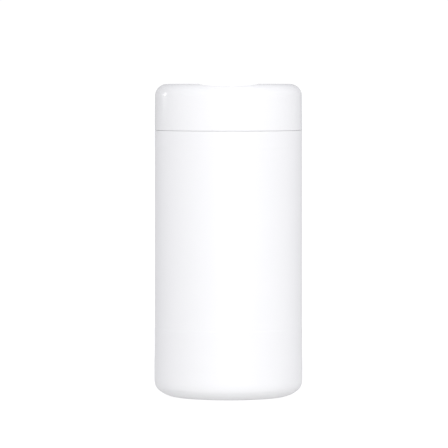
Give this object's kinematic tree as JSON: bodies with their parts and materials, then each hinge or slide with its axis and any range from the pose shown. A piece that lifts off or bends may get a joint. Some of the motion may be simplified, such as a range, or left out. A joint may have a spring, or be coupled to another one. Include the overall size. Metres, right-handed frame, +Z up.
{
  "type": "wipes canister",
  "caption": "Plain cylindrical canister for pull-out wipes, with a rounded pull-off lid, a hinged flap over the dispensing hole and a roll of wipes inside.",
  "frame": {"origin": "centre of the canister's base, on the plane it stands on", "axes": "+Z up along the canister's axis; -Y towards the front, where the thumb scoop and the flap's tab are; the flap's hinge is on the +Y side"},
  "size_m": [0.0854, 0.0854, 0.1804],
  "materials": {
    "canister_body": "satin white polyethylene",
    "lid": "semi-gloss white polypropylene",
    "flap": "semi-gloss white polypropylene",
    "wipes_roll": "damp white nonwoven"
  },
  "bodies": {
    "canister": {"canister_body": "canister_body", "wipes_roll": "wipes_roll"},
    "lid": {"lid": "lid"},
    "flap": {"flap": "flap"}
  },
  "joints": [
    {"name": "lid_lift", "type": "slide", "parent": "canister", "child": "lid", "axis": [0, 0, 1], "range_m": [0, 0.04]},
    {"name": "flap_hinge", "type": "hinge", "parent": "lid", "child": "flap", "pos_m": [0, 0.033, 0.1788], "axis": [-1, 0, 0], "range_deg": [0, 150]}
  ]
}
